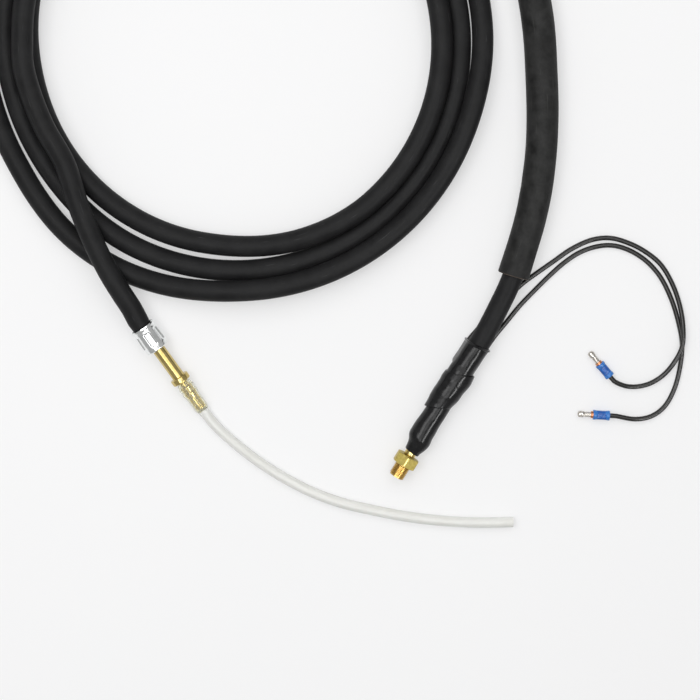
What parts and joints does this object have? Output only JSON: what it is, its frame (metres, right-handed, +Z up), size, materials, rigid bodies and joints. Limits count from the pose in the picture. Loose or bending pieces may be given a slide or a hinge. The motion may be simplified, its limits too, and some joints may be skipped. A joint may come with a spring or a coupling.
{
  "type": "tig torch cable package",
  "caption": "Coiled TIG torch power and gas cable with a crimped barb fitting and clear gas tube on one end, and a threaded connector with two control leads on the other.",
  "frame": {"origin": "centre of the whole package's footprint, on the floor it lies on", "axes": "+Z up from the floor, +X towards the control leads, +Y towards the far side of the coil, away from both fittings"},
  "size_m": [0.4351, 0.4652, 0.0269],
  "materials": {
    "hose_rubber": "satin black",
    "sleeve_rubber": "matte",
    "shrink_plastic": "glossy black",
    "wire_plastic": "satin black",
    "clear_plastic": "clear",
    "blue_plastic": "gloss",
    "brass": "turned",
    "copper": "bare copper",
    "plated_steel": "zinc plated, crimped",
    "tin": "tinned"
  },
  "bodies": {
    "body": {"cable_coil": "hose_rubber", "cable_lead_left": "hose_rubber", "cable_lead_right": "hose_rubber", "conductor_coil": "copper", "conductor_lead_left": "copper", "conductor_lead_right": "copper", "outer_sleeve": "sleeve_rubber", "hose_ferrule": "plated_steel", "barbed_stem": "brass", "clear_tube_cuff": "clear_plastic", "clear_tube": "clear_plastic", "clear_tube_end": "clear_plastic", "connector_nipple": "brass", "connector_ferrule": "plated_steel", "shrink_front": "shrink_plastic", "shrink_middle": "shrink_plastic", "shrink_rear": "shrink_plastic", "control_wire_upper": "wire_plastic", "control_wire_lower": "wire_plastic", "wire_strands_upper": "copper", "wire_strands_lower": "copper", "bullet_pin_upper": "tin", "bullet_pin_lower": "tin", "crimp_ring_upper": "copper", "crimp_ring_lower": "copper", "insulator_upper": "blue_plastic", "insulator_lower": "blue_plastic"},
    "nut": {"swivel_nut": "brass"}
  },
  "joints": [
    {"name": "swivel_nut_spin", "type": "hinge", "parent": "body", "child": "nut", "pos_m": [0.04395, -0.19156, 0.00925], "axis": [-0.5225, -0.8526, 0], "continuous": true}
  ]
}
